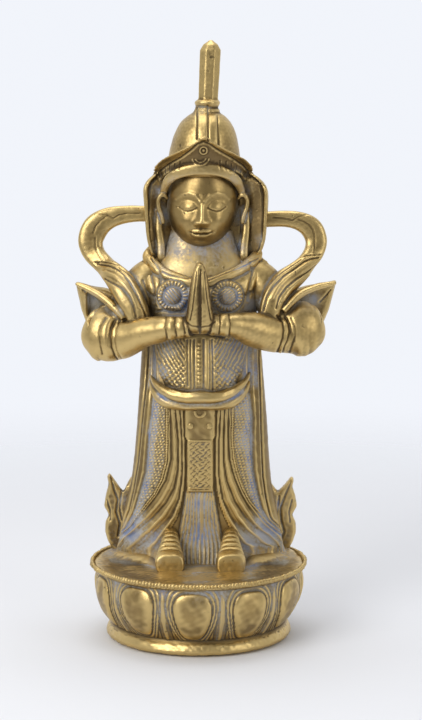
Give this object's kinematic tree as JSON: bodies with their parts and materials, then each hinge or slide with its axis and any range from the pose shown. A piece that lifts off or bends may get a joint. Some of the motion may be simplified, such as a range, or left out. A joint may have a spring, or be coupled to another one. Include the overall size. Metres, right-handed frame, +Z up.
{
  "type": "buddhist guardian deity statue",
  "caption": "Cast brass temple guardian in helmet and scaled armour, hands pressed in prayer, scarf looped behind the shoulders, standing on a round lotus base.",
  "frame": {"origin": "centre of the lotus base's round underside, on the ground", "axes": "+Z up the figure, -Y the way the figure faces, +X to the right of a viewer who faces the figure"},
  "size_m": [0.1131, 0.093, 0.256],
  "materials": {
    "cast_brass": "worn golden-brown cast brass with dark recesses"
  },
  "bodies": {
    "root": {"guardian_statue": "cast_brass"}
  },
  "joints": []
}
